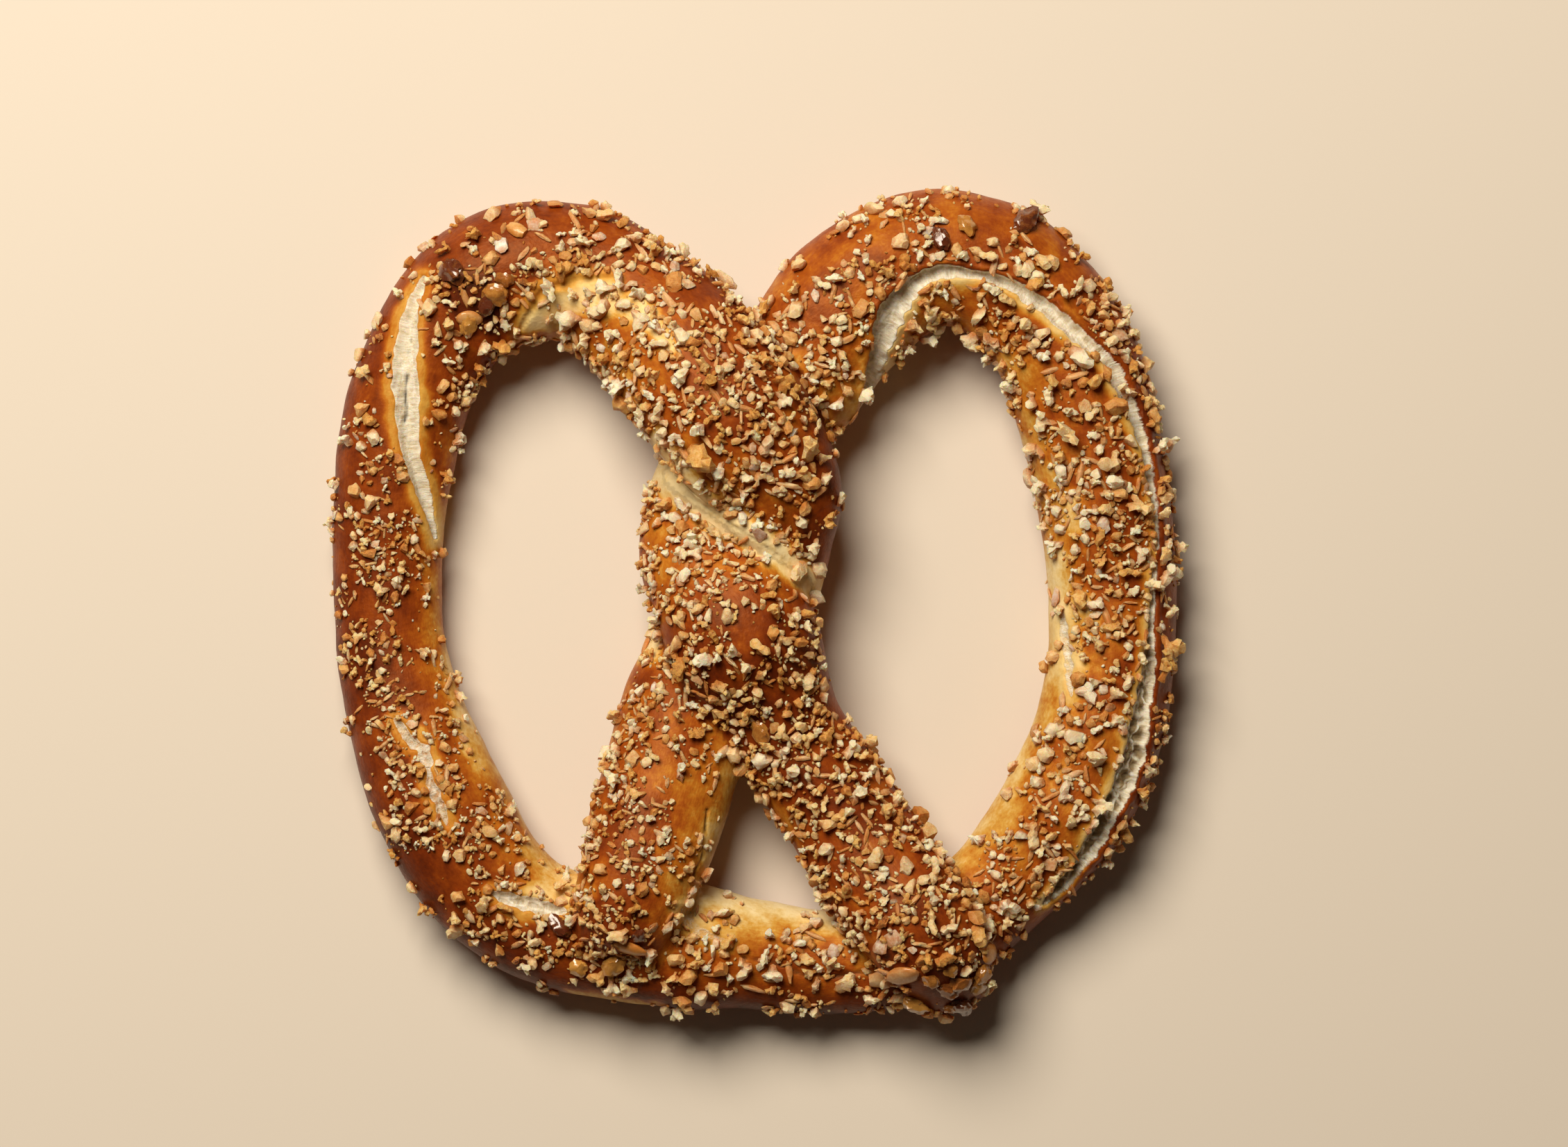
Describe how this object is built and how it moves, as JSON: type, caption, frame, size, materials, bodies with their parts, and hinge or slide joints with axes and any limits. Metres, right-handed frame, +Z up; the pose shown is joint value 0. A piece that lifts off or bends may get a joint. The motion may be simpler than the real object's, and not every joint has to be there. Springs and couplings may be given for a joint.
{
  "type": "soft pretzel",
  "caption": "Hand-rolled soft pretzel knotted from one rope of dough, with burst crust and a coarse nut and sugar crumb topping, lying flat.",
  "frame": {"origin": "on the surface that the pretzel lies on, under the centre of the box round its outline", "axes": "+Z up; +Y away from the two rope ends, towards the two shoulders; +X to the right, seen from above"},
  "size_m": [0.1522, 0.1466, 0.0325],
  "materials": {
    "crust": "baked egg-washed bread crust, mahogany to golden, softly glossy",
    "bread": "pale open bread inside the splits, matte",
    "crumb": "coarse cream and beige nut and sugar crumb, matte",
    "caramel": "amber to dark caramelised sugar lumps, glossy"
  },
  "bodies": {
    "root": {"pretzel": "crust"}
  },
  "joints": []
}
